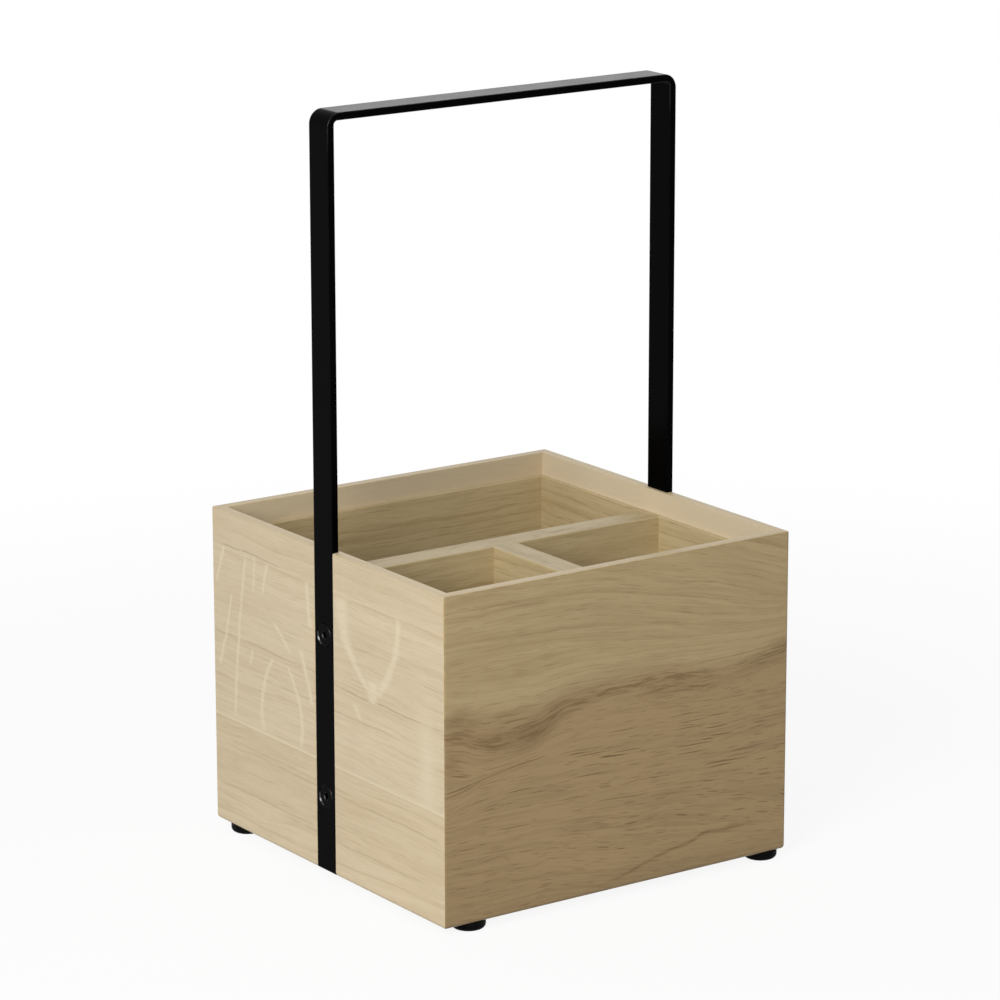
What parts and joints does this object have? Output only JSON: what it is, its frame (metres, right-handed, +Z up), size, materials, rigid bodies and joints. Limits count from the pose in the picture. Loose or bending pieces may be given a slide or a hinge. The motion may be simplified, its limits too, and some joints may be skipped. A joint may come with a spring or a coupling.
{
  "type": "table caddy",
  "caption": "Square oak table caddy with open compartments and a black flat-bar carrying handle let into its sides, standing on small rubber feet.",
  "frame": {"origin": "middle of the overall box in plan, on the plane that the four rubber feet stand on", "axes": "+Z up towards the handle, +X to the right along the front wall and along the handle's bar, -Y towards the front wall, whose side has the two small compartments"},
  "size_m": [0.19, 0.19, 0.3535],
  "materials": {
    "oak_front": "clear matt lacquer on plain-sawn oak, darker tan",
    "oak_side": "clear matt lacquer on pale oak with ray fleck",
    "oak_inner": "clear matt lacquer on oak",
    "black_powder_coat": "fine matt black powder coat on flat steel bar",
    "black_screw": "glossy black-plated steel",
    "brass": "machined brass",
    "black_rubber": "matt black moulded rubber"
  },
  "bodies": {
    "root": {"front_panel": "oak_front", "back_panel": "oak_front", "left_panel_upper": "oak_side", "left_panel_lower": "oak_side", "right_panel_upper": "oak_side", "right_panel_lower": "oak_side", "base_panel": "oak_inner", "lining_front": "oak_inner", "lining_back": "oak_inner", "lining_left": "oak_inner", "lining_right": "oak_inner", "long_divider": "oak_inner", "cross_divider": "oak_inner", "handle_strap": "black_powder_coat", "screw_left_upper": "black_screw", "screw_left_lower": "black_screw", "screw_right_upper": "black_screw", "screw_right_lower": "black_screw", "insert_left_upper": "brass", "insert_left_lower": "brass", "insert_right_upper": "brass", "insert_right_lower": "brass", "foot_front_left": "black_rubber", "foot_front_right": "black_rubber", "foot_back_left": "black_rubber", "foot_back_right": "black_rubber"}
  },
  "joints": []
}
